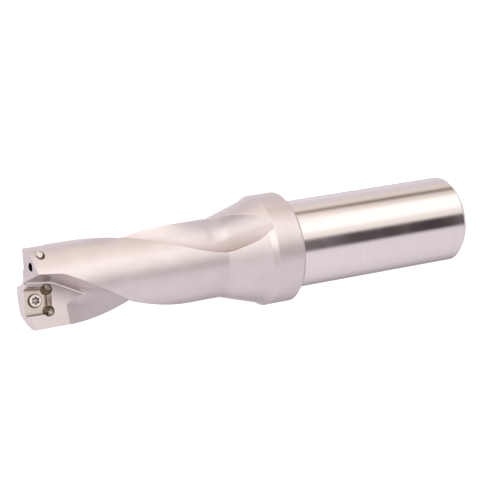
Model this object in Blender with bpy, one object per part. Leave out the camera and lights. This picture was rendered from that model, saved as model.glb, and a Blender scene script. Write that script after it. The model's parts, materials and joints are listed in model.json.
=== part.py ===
"""Indexable drill body with its two insert screws, standing on its shank end, tip up.

The body is one steel piece: a plain cylindrical shank with a clamping flat and a rear coolant
bore, a flange, a conical nose and a fluted drill body. Two chip flutes run up the body as
helices, come out of the nose in rounded scoops, and open at the tip into straight milled
gullets. Each gullet has a square insert seat with leaning walls, corner reliefs and a tapped
hole that runs out through the land. The inner seat is at -Y and looks along +X, the outer
seat is at +Y and looks along -X. The +Z axis is the drilling direction.
"""

import math

import bmesh
import bpy
from mathutils import Matrix, Vector

MM = 0.001

# Shank
SHANK_RADIUS = 12.5 * MM
SHANK_LENGTH = 56 * MM
SHANK_CHAMFER = 1.4 * MM
JUNCTION_GROOVE_DEPTH = 0.3 * MM
JUNCTION_GROOVE_WIDTH = 0.8 * MM
CLAMP_FLAT_DEPTH = 2 * MM
CLAMP_FLAT_START = 18 * MM
CLAMP_FLAT_LENGTH = 24 * MM

# Flange and nose
FLANGE_RADIUS = 15.75 * MM
FLANGE_LENGTH = 8.5 * MM
FLANGE_REAR_CHAMFER = 0.85 * MM
FLANGE_FRONT_CHAMFER = 1.5 * MM
FLANGE_FRONT_CHAMFER_DROP = 0.95 * MM
NOSE_LENGTH = 11.7 * MM

# Fluted body
BODY_RADIUS = 11.25 * MM
BODY_LENGTH = 55.8 * MM

# Coolant passages
BORE_RADIUS = 4 * MM
BORE_DEPTH = 58 * MM
BORE_CHAMFER = 0.8 * MM
BORE_POINT_ANGLE = math.radians(118)
CHANNEL_RADIUS = 1.2 * MM
CHANNEL_CENTRE_RADIUS = 8.8 * MM
CHANNEL_BACK_FROM_HEEL = math.radians(48.5)
CHANNEL_TURN_IN = 3 * MM

# Chip flutes
TWIST_PER_LENGTH = math.radians(2.2) / MM
RUNOUT_TWIST_PER_LENGTH = math.radians(1.15) / MM
TWIST_CHANGE_ABOVE_NOSE = 7 * MM
TWIST_BLEND = 4 * MM
TWIST_END_BLEND = 1.5 * MM
FLUTE_WALL_ANGLE = math.radians(81.5)
INNER_FLUTE_OPENING = math.radians(79.4)
INNER_FLUTE_FILLET = 5.2 * MM
OUTER_FLUTE_OPENING = math.radians(70)
OUTER_FLUTE_FILLET = 5 * MM
OUTER_LAND_WIDTH = math.radians(104.8)
INNER_RAKE_SQUARE_BELOW_TIP = 11 * MM
INNER_TURN_PAST_SQUARE = math.radians(2.2)
OUTER_TURN_PAST_SQUARE = math.radians(12.9)
RUNOUT_SLOPE = 0.8
RUNOUT_FILLET = 7 * MM
RUNOUT_BLEND = 3 * MM
RUNOUT_END_BELOW_FLANGE_FRONT = 0.3 * MM

# Tip gullets, measured in the inner gullet's own axes: rake flat at X, ridge wall at Y
GULLET_DRAFT = math.radians(8.5)
GULLET_TIP_SLOPE = math.radians(7.2)
GULLET_TIP_LENGTH = 8 * MM
GULLET_TAIL_SLOPE = math.radians(25.5)
GULLET_RIDGE_RADIUS = 7 * MM
GULLET_CORNER_FILLET = 0.3 * MM
INNER_RIDGE = 1.9 * MM
OUTER_RIDGE = -3.1 * MM

# Insert seats
SEAT_TILT = math.radians(7.5)
SEAT_DEPTH = 4 * MM
SEAT_WALL_LEAN = math.radians(11)
SEAT_CENTRE_WALL = 2.95 * MM
SEAT_REAR_WALL = 3.3 * MM
SEAT_REAR_LEAN = math.radians(4.5)
SEAT_CLEAR_WALL = 3.98 * MM
SEAT_CLEAR_LEAN = math.radians(1)
SEAT_CLEAR_FLARE = math.radians(6.3)
SEAT_RELIEF_RADIUS = 1.5 * MM
SEAT_RELIEF_ACROSS = 2.95 * MM
CENTRE_RELIEF_BACK = 3.25 * MM
CLEAR_RELIEF_BACK = 3.65 * MM
SEAT_RELIEF_DEPTH = 0.4 * MM
SEAT_RELIEF_TILT = math.radians(13)
SEAT_HOLE_MOUTH_RADIUS = 1.8 * MM
INNER_SEAT_OUT = 3.35 * MM
INNER_RAKE_HEIGHT = 0 * MM
OUTER_SEAT_OUT = 8.35 * MM
OUTER_RAKE_HEIGHT = 1.65 * MM
SEAT_BELOW_TIP = 3.5 * MM

# End faces of the two lands
INNER_PEAK_OUT = 6.5 * MM
INNER_END_SLOPE = math.radians(5.9)
INNER_END_OUTER_SLOPE = math.radians(13)
INNER_END_RELIEF = math.radians(3.5)
OUTER_PEAK_OUT = 5.5 * MM
OUTER_END_SLOPE = math.radians(6.5)
OUTER_END_OUTER_SLOPE = math.radians(5)
OUTER_END_RELIEF = math.radians(7)
OUTER_END_WEB_FALL = math.radians(11)
END_CUT_LAP = 0.15 * MM

# Insert screws
SCREW_CORE_RADIUS = 0.95 * MM
SCREW_CLEARANCE = 0.3 * MM
SCREW_REACH = 4.9 * MM
SCREW_TIP_CHAMFER = 0.4 * MM
SCREW_HEAD_RADIUS = 1.72 * MM
SCREW_HEAD_ABOVE_SEAT = 1.2 * MM
SCREW_HEAD_RIM = 0.3 * MM
SCREW_HEAD_CHAMFER = 0.15 * MM
SCREW_HEAD_CONE_ANGLE = math.radians(55)
SOCKET_RADIUS = 1.15 * MM
SOCKET_VALLEY_RADIUS = 0.83 * MM
SOCKET_DEPTH = 0.85 * MM
SOCKET_LOBES = 6

# Facets
BODY_STEPS = 96
ARC_STEPS = 8
HELIX_STEP = 1.6 * MM
HOLE_STEPS = 20
SCREW_STEPS = 48
OVERSHOOT = 4 * MM

# Heights along the axis
FLANGE_FRONT = SHANK_LENGTH + FLANGE_LENGTH
NOSE_START = FLANGE_FRONT + FLANGE_FRONT_CHAMFER
BODY_START = NOSE_START + NOSE_LENGTH
TIP_HEIGHT = BODY_START + BODY_LENGTH
BLANK_TOP = TIP_HEIGHT + OVERSHOOT
TWIST_CHANGE = BODY_START + TWIST_CHANGE_ABOVE_NOSE
INNER_RAKE_SQUARE = TIP_HEIGHT - INNER_RAKE_SQUARE_BELOW_TIP
FAR = 2 * FLANGE_RADIUS


def clear_scene():
    """Remove every object of the scene."""
    for old in list(bpy.data.objects):
        bpy.data.objects.remove(old, do_unlink=True)


def steel(name, colour, roughness):
    """A metallic material."""
    material = bpy.data.materials.new(name)
    material.use_nodes = True
    shader = material.node_tree.nodes["Principled BSDF"]
    shader.inputs["Base Color"].default_value = (*colour, 1)
    shader.inputs["Metallic"].default_value = 1
    shader.inputs["Roughness"].default_value = roughness
    return material


def add_object(name, bm):
    """Link a bmesh to the scene as a smooth-shaded object with its faces pointing outwards."""
    bmesh.ops.recalc_face_normals(bm, faces=bm.faces)
    mesh = bpy.data.meshes.new(name)
    bm.to_mesh(mesh)
    bm.free()
    mesh.shade_smooth()
    mesh.set_sharp_from_angle(angle=math.radians(30))
    added = bpy.data.objects.new(name, mesh)
    bpy.context.collection.objects.link(added)
    return added


def loft(name, rings):
    """Closed solid through rings of equally many points, with a cap at each end."""
    bm = bmesh.new()
    loops = [[bm.verts.new(point) for point in ring] for ring in rings]
    for low, high in zip(loops, loops[1:]):
        for i in range(len(low)):
            after = (i + 1) % len(low)
            bm.faces.new((low[i], low[after], high[after], high[i]))
    bm.faces.new(reversed(loops[0]))
    bm.faces.new(loops[-1])
    return add_object(name, bm)


def turned(name, profile, steps):
    """Solid of revolution about Z from (radius, height) points that start and end on the axis."""
    bm = bmesh.new()
    points = [bm.verts.new((radius, 0, height)) for radius, height in profile]
    edges = [bm.edges.new(pair) for pair in zip(points, points[1:])]
    bmesh.ops.spin(
        bm,
        geom=points + edges,
        cent=(0, 0, 0),
        axis=(0, 0, 1),
        angle=math.tau,
        steps=steps,
        use_merge=True,
    )
    bmesh.ops.remove_doubles(bm, verts=bm.verts, dist=1e-6)
    return add_object(name, bm)


def cutter(added):
    """Mark an object as a cutting tool that is no part of the product."""
    added.hide_render = True
    added.display_type = "WIRE"
    return added


def circle(centre, radius, steps):
    """Ring of points round a centre, in a level plane."""
    angles = [math.tau * i / steps for i in range(steps)]
    return [centre + Vector((radius * math.cos(a), radius * math.sin(a), 0)) for a in angles]


def round_cutter(name, place, levels):
    """Round cutter along the local Z axis of a placing matrix, from radius and height levels."""
    rings = [circle(Vector((0, 0, height)), radius, HOLE_STEPS) for radius, height in levels]
    return cutter(loft(name, [[place @ point for point in ring] for ring in rings]))


def eased(value, blend):
    """The larger of value and zero, with a parabola of half length blend where they meet."""
    if value <= -blend:
        return 0
    if value >= blend:
        return value
    return (value + blend) ** 2 / (4 * blend)


def twist(height, straight_from=BLANK_TOP):
    """Angle that a flute has turned through at a height, zero where the twist changes."""
    above = height - eased(height - straight_from, TWIST_END_BLEND) - TWIST_CHANGE
    gained = TWIST_PER_LENGTH - RUNOUT_TWIST_PER_LENGTH
    return RUNOUT_TWIST_PER_LENGTH * above + gained * eased(above, TWIST_BLEND)


# Angle of each flute's rake wall where the twist is zero, and the height where it runs straight
INNER_RAKE_ANGLE = math.radians(-90) - twist(INNER_RAKE_SQUARE)
OUTER_RAKE_ANGLE = INNER_RAKE_ANGLE + INNER_FLUTE_OPENING + OUTER_LAND_WIDTH
INNER_STRAIGHT = INNER_RAKE_SQUARE + INNER_TURN_PAST_SQUARE / TWIST_PER_LENGTH
OUTER_TURN = math.radians(90) + OUTER_TURN_PAST_SQUARE - OUTER_RAKE_ANGLE
OUTER_STRAIGHT = TWIST_CHANGE + OUTER_TURN / TWIST_PER_LENGTH


def blank_profile():
    """Half section of the turned blank, from the end of the coolant bore round to the top."""
    bore_point = BORE_RADIUS / math.tan(BORE_POINT_ANGLE / 2)
    groove_radius = SHANK_RADIUS - JUNCTION_GROOVE_DEPTH
    return [
        (0, BORE_DEPTH + bore_point),
        (BORE_RADIUS, BORE_DEPTH),
        (BORE_RADIUS, BORE_CHAMFER),
        (BORE_RADIUS + BORE_CHAMFER, 0),
        (SHANK_RADIUS - SHANK_CHAMFER, 0),
        (SHANK_RADIUS, SHANK_CHAMFER),
        (SHANK_RADIUS, SHANK_LENGTH - JUNCTION_GROOVE_WIDTH),
        (groove_radius, SHANK_LENGTH - JUNCTION_GROOVE_WIDTH + JUNCTION_GROOVE_DEPTH),
        (groove_radius, SHANK_LENGTH - JUNCTION_GROOVE_DEPTH),
        (SHANK_RADIUS, SHANK_LENGTH),
        (FLANGE_RADIUS - FLANGE_REAR_CHAMFER, SHANK_LENGTH),
        (FLANGE_RADIUS, SHANK_LENGTH + FLANGE_REAR_CHAMFER),
        (FLANGE_RADIUS, FLANGE_FRONT),
        (FLANGE_RADIUS - FLANGE_FRONT_CHAMFER_DROP, NOSE_START),
        (BODY_RADIUS, BODY_START),
        (BODY_RADIUS, BLANK_TOP),
        (0, BLANK_TOP),
    ]


def flute_centre(opening, fillet):
    """Centre of the fillet between the rake wall, along +X, and the heel wall of a flute."""
    lean = math.pi / 2 - FLUTE_WALL_ANGLE
    heel_x = BODY_RADIUS * math.cos(opening)
    heel_y = BODY_RADIUS * math.sin(opening)
    corner_x = heel_x - heel_y * math.tan(lean)
    return Vector((corner_x + fillet * (math.tan(lean) + 1 / math.cos(lean)), fillet, 0))


def flute_section(opening, fillet):
    """Outline of a flute with its rake wall along +X, from the far end of that wall round."""
    centre = flute_centre(opening, fillet)
    sweep = math.pi - FLUTE_WALL_ANGLE
    outline = [Vector((FAR, 0, 0))]
    for i in range(ARC_STEPS + 1):
        angle = -math.pi / 2 - sweep * i / ARC_STEPS
        outline.append(centre + fillet * Vector((math.cos(angle), math.sin(angle), 0)))
    along_heel = Vector((math.cos(FLUTE_WALL_ANGLE), math.sin(FLUTE_WALL_ANGLE), 0))
    outline.append(outline[-1] + FAR * along_heel)
    return outline


def flute_cutter(name, rake_angle, straight_from, opening, fillet):
    """Twisted cutter of a flute, which slides out along its bisector and widens in the nose."""
    centre = flute_centre(opening, RUNOUT_FILLET)
    bisector = Vector((math.cos(FLUTE_WALL_ANGLE / 2), math.sin(FLUTE_WALL_ANGLE / 2), 0))
    along = centre.dot(bisector)
    reach = FLANGE_RADIUS + RUNOUT_FILLET
    travel = math.sqrt(along**2 + reach**2 - centre.length_squared) - along
    runout_end = FLANGE_FRONT - RUNOUT_END_BELOW_FLANGE_FRONT
    runout_start = runout_end + travel / RUNOUT_SLOPE
    lowest = runout_end - OVERSHOOT
    count = math.ceil((BLANK_TOP + OVERSHOOT - lowest) / HELIX_STEP)
    rings = []
    for i in range(count + 1):
        height = lowest + i * HELIX_STEP
        slide = RUNOUT_SLOPE * eased(runout_start - height, RUNOUT_BLEND)
        widened = fillet + (RUNOUT_FILLET - fillet) * min(1, slide / travel)
        turn = Matrix.Rotation(rake_angle + twist(height, straight_from), 4, "Z")
        lift = Vector((0, 0, height))
        section = flute_section(opening, widened)
        rings.append([turn @ (point + slide * bisector) + lift for point in section])
    return cutter(loft(name, rings))


def ridge_line(ridge):
    """Ridge of a gullet as (y, z) points, from above the tip down its two slopes."""
    bend_z = TIP_HEIGHT - GULLET_TIP_LENGTH
    bend_y = ridge - GULLET_TIP_LENGTH * math.tan(GULLET_TIP_SLOPE)
    turn = GULLET_TAIL_SLOPE - GULLET_TIP_SLOPE
    tangent = GULLET_RIDGE_RADIUS * math.tan(turn / 2)
    start_y = bend_y + tangent * math.sin(GULLET_TIP_SLOPE)
    start_z = bend_z + tangent * math.cos(GULLET_TIP_SLOPE)
    centre_y = start_y - GULLET_RIDGE_RADIUS * math.cos(GULLET_TIP_SLOPE)
    centre_z = start_z + GULLET_RIDGE_RADIUS * math.sin(GULLET_TIP_SLOPE)
    above = 2 * OVERSHOOT
    line = [(ridge + above * math.tan(GULLET_TIP_SLOPE), TIP_HEIGHT + above)]
    for i in range(ARC_STEPS + 1):
        angle = GULLET_TIP_SLOPE + turn * i / ARC_STEPS
        y = centre_y + GULLET_RIDGE_RADIUS * math.cos(angle)
        z = centre_z - GULLET_RIDGE_RADIUS * math.sin(angle)
        line.append((y, z))
    last_y, last_z = line[-1]
    line.append((-FAR, last_z - (last_y + FAR) / math.tan(GULLET_TAIL_SLOPE)))
    return line


def gullet_cutter(name, turn, rake, ridge):
    """Straight milled gullet: a rake flat, a drafted ridge wall and a fillet between them."""
    line = ridge_line(ridge)
    top = line[0][1]
    slope = math.tan(GULLET_DRAFT)
    centre_x = GULLET_CORNER_FILLET
    centre_drop = GULLET_CORNER_FILLET * (1 / math.cos(GULLET_DRAFT) - slope)
    levels = []
    for i in range(ARC_STEPS + 1):
        angle = math.pi - (math.pi / 2 - GULLET_DRAFT) * i / ARC_STEPS
        x = centre_x + GULLET_CORNER_FILLET * math.cos(angle)
        levels.append((x, GULLET_CORNER_FILLET * math.sin(angle) - centre_drop))
    levels.append((FAR, FAR * slope))
    rings = []
    for x, shift in levels:
        outline = [(y + shift, z) for y, z in line] + [(-2 * FAR, line[-1][1]), (-2 * FAR, top)]
        rings.append([turn @ Vector((rake + x, y, z)) for y, z in outline])
    return cutter(loft(name, rings))


def seat_frame(out, floor, facing):
    """Axes of an insert seat: X towards the drill's axis, Y forwards, Z out of the floor."""
    forwards = Vector((0, math.sin(SEAT_TILT), math.cos(SEAT_TILT)))
    normal = Vector((facing, 0, 0))
    inwards = forwards.cross(normal)
    frame = Matrix((inwards, forwards, normal)).transposed().to_4x4()
    origin = Vector((floor, out, TIP_HEIGHT - SEAT_BELOW_TIP))
    return Matrix.Translation(origin) @ frame


def seat_cutter(name, frame, outer_wall):
    """Square insert seat with leaning walls, open to the tip, where it flares outwards."""
    height = SEAT_DEPTH + OVERSHOOT
    ahead = SEAT_BELOW_TIP + OVERSHOOT
    flare = math.tan(SEAT_CLEAR_FLARE)
    rings = []
    for level in (0, height):
        inner = SEAT_CENTRE_WALL + level * math.tan(SEAT_WALL_LEAN)
        outer = -outer_wall - level * math.tan(SEAT_CLEAR_LEAN)
        rear = -SEAT_REAR_WALL - level * math.tan(SEAT_REAR_LEAN)
        front_corner = (outer - ahead * flare, ahead)
        rear_corner = (outer - rear * flare, rear)
        outline = [(inner, rear), (inner, ahead), front_corner, rear_corner]
        rings.append([frame @ Vector((x, y, level)) for x, y in outline])
    return cutter(loft(name, rings))


def relief_cutter(name, frame, across, back):
    """Round relief in a rear corner of a seat, drilled a little deeper than its floor."""
    lean = Matrix.Rotation(-SEAT_RELIEF_TILT, 4, "X")
    corner = Matrix.Translation((across, -back, 0)) @ lean
    levels = [(SEAT_RELIEF_RADIUS, height) for height in (-SEAT_RELIEF_DEPTH, 2 * SEAT_DEPTH)]
    return round_cutter(name, frame @ corner, levels)


def end_cutter(name, footprint, peak, slope, relief):
    """Removes what lies above an end plane through a peak point, inside a footprint."""
    peak_x, peak_y, peak_z = peak
    low = []
    for x, y in footprint:
        low.append(Vector((x, y, peak_z + slope * (y - peak_y) + relief * (x - peak_x))))
    high = [Vector((x, y, BLANK_TOP + OVERSHOOT)) for x, y in footprint]
    return cutter(loft(name, [low, high]))


def outer_land_footprint(lap):
    """Footprint of the outer land, which laps onto the inner land's lower end face."""
    slope = math.tan(GULLET_DRAFT)
    wall = INNER_RIDGE - GULLET_CORNER_FILLET / 2 - lap
    edge = -OUTER_RAKE_HEIGHT - lap
    return [(edge, wall + edge * slope), (FAR, wall + FAR * slope), (FAR, FAR), (edge, FAR)]


def end_cutters():
    """End planes of each land, which fall away on both sides of its peak and into the web."""
    start, wall_end, _, top_corner = outer_land_footprint(0)
    inner_land = [(-FAR, -FAR), (FAR, -FAR), wall_end, start, top_corner, (-FAR, FAR)]
    inner_outside = [(-FAR, -FAR), (FAR, -FAR), (FAR, 0), (-FAR, 0)]
    inner_peak = (0, -INNER_PEAK_OUT, TIP_HEIGHT)
    outer_peak = (SEAT_DEPTH - OUTER_RAKE_HEIGHT + END_CUT_LAP, OUTER_PEAK_OUT, TIP_HEIGHT)
    inner_relief = math.tan(INNER_END_RELIEF)
    outer_relief = -math.tan(OUTER_END_RELIEF)
    web_fall = math.tan(OUTER_END_WEB_FALL)
    inner_in = -math.tan(INNER_END_SLOPE)
    inner_out = math.tan(INNER_END_OUTER_SLOPE)
    outer_in = math.tan(OUTER_END_SLOPE)
    outer_out = -math.tan(OUTER_END_OUTER_SLOPE)
    outer_land, outer_outside, outer_web = [
        outer_land_footprint(END_CUT_LAP * laps) for laps in (1, 2, 3)
    ]
    return [
        end_cutter("inner_end", inner_land, inner_peak, inner_in, inner_relief),
        end_cutter("inner_end_outside", inner_outside, inner_peak, inner_out, inner_relief),
        end_cutter("outer_end", outer_land, outer_peak, outer_in, outer_relief),
        end_cutter("outer_end_outside", outer_outside, outer_peak, outer_out, outer_relief),
        end_cutter("outer_end_web", outer_web, outer_peak, outer_out, web_fall),
    ]


def channel_cutter():
    """Coolant channel: out of the bore at a slant, then up the outer land beside the flute."""
    heel_angle = INNER_RAKE_ANGLE + INNER_FLUTE_OPENING
    start = BODY_START - CHANNEL_TURN_IN
    stations = [(0, BORE_DEPTH - CHANNEL_RADIUS, start)]
    count = math.ceil((BLANK_TOP - start) / (2 * HELIX_STEP))
    for i in range(count + 1):
        height = start + i * 2 * HELIX_STEP
        stations.append((CHANNEL_CENTRE_RADIUS, height, height))
    rings = []
    for radius, height, turned_at in stations:
        angle = heel_angle + CHANNEL_BACK_FROM_HEEL + twist(turned_at, INNER_STRAIGHT)
        centre = Vector((radius * math.cos(angle), radius * math.sin(angle), height))
        rings.append(circle(centre, CHANNEL_RADIUS, HOLE_STEPS))
    return cutter(loft("coolant_channel", rings))


def clamp_flat_cutter():
    """Block that mills the clamping flat into the shank, on its -X side."""
    face = CLAMP_FLAT_DEPTH - SHANK_RADIUS
    rings = []
    for height in (CLAMP_FLAT_START, CLAMP_FLAT_START + CLAMP_FLAT_LENGTH):
        corners = [(face, -FAR), (face, FAR), (-FAR, FAR), (-FAR, -FAR)]
        rings.append([Vector((x, y, height)) for x, y in corners])
    return cutter(loft("clamp_flat", rings))


def seat_cutters(frame, label, outer_wall, reliefs):
    """Seat, corner reliefs and tapped hole of one insert, whose mouth is countersunk."""
    hole_radius = SCREW_CORE_RADIUS + SCREW_CLEARANCE
    mouth_depth = SEAT_HOLE_MOUTH_RADIUS - hole_radius
    tools = [seat_cutter(f"{label}_seat", frame, outer_wall)]
    for i, (across, back) in enumerate(reliefs):
        tools.append(relief_cutter(f"{label}_relief_{i + 1}", frame, across, back))
    levels = [
        (hole_radius, -FAR / 2),
        (hole_radius, -mouth_depth),
        (SEAT_HOLE_MOUTH_RADIUS, 0),
        (SEAT_HOLE_MOUTH_RADIUS, SEAT_DEPTH),
    ]
    tools.append(round_cutter(f"{label}_hole", frame, levels))
    return tools


def socket_radius(angle):
    """Radius of the six-lobed socket at an angle."""
    middle = (SOCKET_RADIUS + SOCKET_VALLEY_RADIUS) / 2
    swing = (SOCKET_RADIUS - SOCKET_VALLEY_RADIUS) / 2
    return middle + swing * math.cos(SOCKET_LOBES * angle)


def insert_screw(name, frame, material):
    """Countersunk insert screw with a six-lobed socket, its axis along the seat's normal."""
    top = SCREW_HEAD_ABOVE_SEAT
    rim = top - SCREW_HEAD_RIM
    cone = (SCREW_HEAD_RADIUS - SCREW_CORE_RADIUS) / math.tan(SCREW_HEAD_CONE_ANGLE / 2)
    levels = [
        (SCREW_CORE_RADIUS - SCREW_TIP_CHAMFER, -SCREW_REACH),
        (SCREW_CORE_RADIUS, SCREW_TIP_CHAMFER - SCREW_REACH),
        (SCREW_CORE_RADIUS, rim - cone),
        (SCREW_HEAD_RADIUS, rim),
        (SCREW_HEAD_RADIUS, top - SCREW_HEAD_CHAMFER),
        (SCREW_HEAD_RADIUS - SCREW_HEAD_CHAMFER, top),
    ]
    rings = [circle(Vector((0, 0, height)), radius, SCREW_STEPS) for radius, height in levels]
    for height in (top, top - SOCKET_DEPTH):
        ring = []
        for i in range(SCREW_STEPS):
            angle = math.tau * i / SCREW_STEPS
            radius = socket_radius(angle)
            ring.append(Vector((radius * math.cos(angle), radius * math.sin(angle), height)))
        rings.append(ring)
    screw = loft(name, [[frame @ point for point in ring] for ring in rings])
    screw.data.materials.append(material)
    return screw


def drill_body(cutters, material):
    """The turned blank with every flute, gullet, seat, hole and flat cut into it."""
    body = turned("drill_body", blank_profile(), BODY_STEPS)
    body.data.materials.append(material)
    for tool in cutters:
        cut = body.modifiers.new(tool.name, "BOOLEAN")
        cut.operation = "DIFFERENCE"
        cut.solver = "EXACT"
        cut.object = tool
    return body


def main():
    """Build the drill."""
    clear_scene()
    nickel = steel("satin_nickel", (0.68, 0.63, 0.62), 0.32)
    screw_steel = steel("bright_screw_steel", (0.72, 0.68, 0.67), 0.25)
    inner_floor = INNER_RAKE_HEIGHT - SEAT_DEPTH
    outer_floor = SEAT_DEPTH - OUTER_RAKE_HEIGHT
    inner_frame = seat_frame(-INNER_SEAT_OUT, inner_floor, 1)
    outer_frame = seat_frame(OUTER_SEAT_OUT, outer_floor, -1)
    half_turn = Matrix.Rotation(math.pi, 4, "Z")
    centre_relief = (SEAT_RELIEF_ACROSS, CENTRE_RELIEF_BACK)
    clear_relief = (-SEAT_RELIEF_ACROSS, CLEAR_RELIEF_BACK)
    cutters = [
        flute_cutter(
            "inner_flute", INNER_RAKE_ANGLE, INNER_STRAIGHT, INNER_FLUTE_OPENING, INNER_FLUTE_FILLET
        ),
        flute_cutter(
            "outer_flute", OUTER_RAKE_ANGLE, OUTER_STRAIGHT, OUTER_FLUTE_OPENING, OUTER_FLUTE_FILLET
        ),
        *seat_cutters(inner_frame, "inner", SEAT_CLEAR_WALL, [centre_relief, clear_relief]),
        *seat_cutters(outer_frame, "outer", FAR, [centre_relief]),
        gullet_cutter("inner_gullet", Matrix.Identity(4), INNER_RAKE_HEIGHT, INNER_RIDGE),
        gullet_cutter("outer_gullet", half_turn, OUTER_RAKE_HEIGHT, OUTER_RIDGE),
        *end_cutters(),
        channel_cutter(),
        clamp_flat_cutter(),
    ]
    drill_body(cutters, nickel)
    insert_screw("inner_insert_screw", inner_frame, screw_steel)
    insert_screw("outer_insert_screw", outer_frame, screw_steel)


main()
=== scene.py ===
"""Looks of an indexable drill body without its inserts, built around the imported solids.

The drill body is cut again from a finely faceted turned blank. Geometry Nodes sweep the two
helical chip flutes and place the insert screws. Every size is in metres, and the axes are those
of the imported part: +Z is the drilling direction, the inner seat looks along +X.
"""

import json
import logging
from collections.abc import Callable, Iterable, Sequence
from dataclasses import dataclass, field, replace
from enum import Enum
from math import ceil, cos, hypot, pi, radians, sin, sqrt, tan, tau

import bmesh
import bpy
from bpy.types import Material, Mesh, Node, NodeSocket, NodeTree, Object
from mathutils import Matrix, Vector

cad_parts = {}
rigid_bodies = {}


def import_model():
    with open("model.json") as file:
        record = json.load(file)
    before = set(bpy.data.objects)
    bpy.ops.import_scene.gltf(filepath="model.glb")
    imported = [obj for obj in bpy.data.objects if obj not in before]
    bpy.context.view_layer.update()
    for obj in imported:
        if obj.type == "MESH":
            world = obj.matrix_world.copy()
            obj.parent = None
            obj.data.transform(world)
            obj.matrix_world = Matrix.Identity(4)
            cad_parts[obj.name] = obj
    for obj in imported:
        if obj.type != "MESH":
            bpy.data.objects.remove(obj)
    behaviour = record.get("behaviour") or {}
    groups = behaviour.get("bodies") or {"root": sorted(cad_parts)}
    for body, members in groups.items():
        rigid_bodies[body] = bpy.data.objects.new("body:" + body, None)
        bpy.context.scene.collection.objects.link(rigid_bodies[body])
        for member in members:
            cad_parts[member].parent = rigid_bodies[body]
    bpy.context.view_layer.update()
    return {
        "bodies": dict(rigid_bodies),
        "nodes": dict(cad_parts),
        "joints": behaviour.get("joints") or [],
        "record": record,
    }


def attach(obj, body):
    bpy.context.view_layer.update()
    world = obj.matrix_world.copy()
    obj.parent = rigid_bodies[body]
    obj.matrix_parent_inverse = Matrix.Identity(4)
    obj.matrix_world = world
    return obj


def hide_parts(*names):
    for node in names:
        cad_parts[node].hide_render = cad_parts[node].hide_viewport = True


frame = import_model()

log = logging.getLogger("indexable_drill")

MM = 0.001
FAR = 20 * MM
OVERSHOOT = 4 * MM
MERGE = 0.0001 * MM
BODY = "root"
SHARP_ANGLE = radians(9)
RIGHT_ANGLE = pi / 2

MATH = "ShaderNodeMath"
VECTOR_MATH = "ShaderNodeVectorMath"
MAP_RANGE = "ShaderNodeMapRange"
MIX = "ShaderNodeMix"
# Places of a colour mix's inputs and output.
SHARE, FIRST, SECOND = 0, 6, 7
MIXED = 2

Point = tuple[float, float]


class Cut(Enum):
    """How a surface of the drill was made, which picks its finish."""

    PLATED = "satin_nickel"
    GROUND = "ground_shank"
    # Plating with a painted highlight, on the gullets' corner fillets.
    FILLET_HIGHLIGHT = "painted_fillet_highlight"
    MILLED = "milled_seat"
    DRILLED = "drilled_hole"
    TAPPED = "tapped_hole"
    SCREW = "screw_steel"


Finishes = dict[Cut, Material]


def linear(code: str, strength: float = 1.0) -> tuple[float, float, float, float]:
    """Turn an sRGB hex colour into linear red, green, blue and alpha.

    Args:
        code: Six hex digits.
        strength: Factor for the colour's three parts.

    Returns:
        The linear colour with alpha 1.
    """
    levels = [int(code[i : i + 2], 16) / 255 for i in (0, 2, 4)]
    red, green, blue = [
        strength * (level / 12.92 if level <= 0.04045 else ((level + 0.055) / 1.055) ** 2.4)
        for level in levels
    ]
    return red, green, blue, 1.0


def add_node(
    tree: NodeTree,
    kind: str,
    inputs: dict[str | int, object] | Sequence[object] = (),
    **settings: object,
) -> Node:
    """Add a node with its settings, values and links.

    Args:
        tree: Node tree that gets the node.
        kind: Type name of the node.
        inputs: Values by the input's name or index, or for the first inputs in order. A socket
            is linked to its input, and a node stands for its first output.
        settings: Attributes to set on the node.

    Returns:
        The new node.
    """
    node = tree.nodes.new(kind)
    for name, value in settings.items():
        setattr(node, name, value)
    for key, value in inputs.items() if isinstance(inputs, dict) else enumerate(inputs):
        given = value.outputs[0] if isinstance(value, Node) else value
        if isinstance(given, NodeSocket):
            tree.links.new(given, node.inputs[key])
        else:
            node.inputs[key].default_value = given
    return node


def polar(radius: float, angle: float, height: float = 0.0) -> Vector:
    """Give the point at a radius, an angle from +X and a height."""
    return Vector((radius * cos(angle), radius * sin(angle), height))


def circle(centre: Vector, radius: float, steps: int) -> list[Vector]:
    """List the points of a level circle."""
    return [centre + polar(radius, tau * i / steps) for i in range(steps)]


def eased(value: float, blend: float) -> float:
    """Give the larger of value and zero, with a parabola of half length blend between them."""
    rise = min(max(value + blend, 0), 2 * blend)
    return rise**2 / (4 * blend) + max(value - blend, 0)


def link_object(name: str, mesh: Mesh) -> Object:
    """Put a mesh into the scene as an object at the origin."""
    added = bpy.data.objects.new(name, mesh)
    bpy.context.scene.collection.objects.link(added)
    return added


def shaded(mesh: Mesh) -> Mesh:
    """Shade a mesh smooth, apart from its sharp edges."""
    mesh.shade_smooth()
    mesh.set_sharp_from_angle(angle=SHARP_ANGLE)
    return mesh


def solid(name: str, bm: bmesh.types.BMesh) -> Object:
    """Turn a closed bmesh into an object whose faces point outwards.

    Args:
        name: Name of the object.
        bm: The bmesh, which is freed.

    Returns:
        The object.
    """
    bmesh.ops.recalc_face_normals(bm, faces=bm.faces)
    mesh = bpy.data.meshes.new(name)
    bm.to_mesh(mesh)
    bm.free()
    return link_object(name, shaded(mesh))


def loft(name: str, rings: Sequence[Sequence[Vector]], material: Material | None = None) -> Object:
    """Make a closed solid through rings of equally many points.

    Args:
        name: Name of the object.
        rings: Rings of points, each closed, from one end to the other.
        material: Finish of the solid.

    Returns:
        The solid's object.
    """
    bm = bmesh.new()
    loops = [[bm.verts.new(point) for point in ring] for ring in rings]
    for low, high in zip(loops, loops[1:]):
        for i in range(len(low)):
            after = (i + 1) % len(low)
            bm.faces.new((low[i], low[after], high[after], high[i]))
    bm.faces.new(reversed(loops[0]))
    bm.faces.new(loops[-1])
    made = solid(name, bm)
    if material:
        made.data.materials.append(material)
    return made


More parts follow.
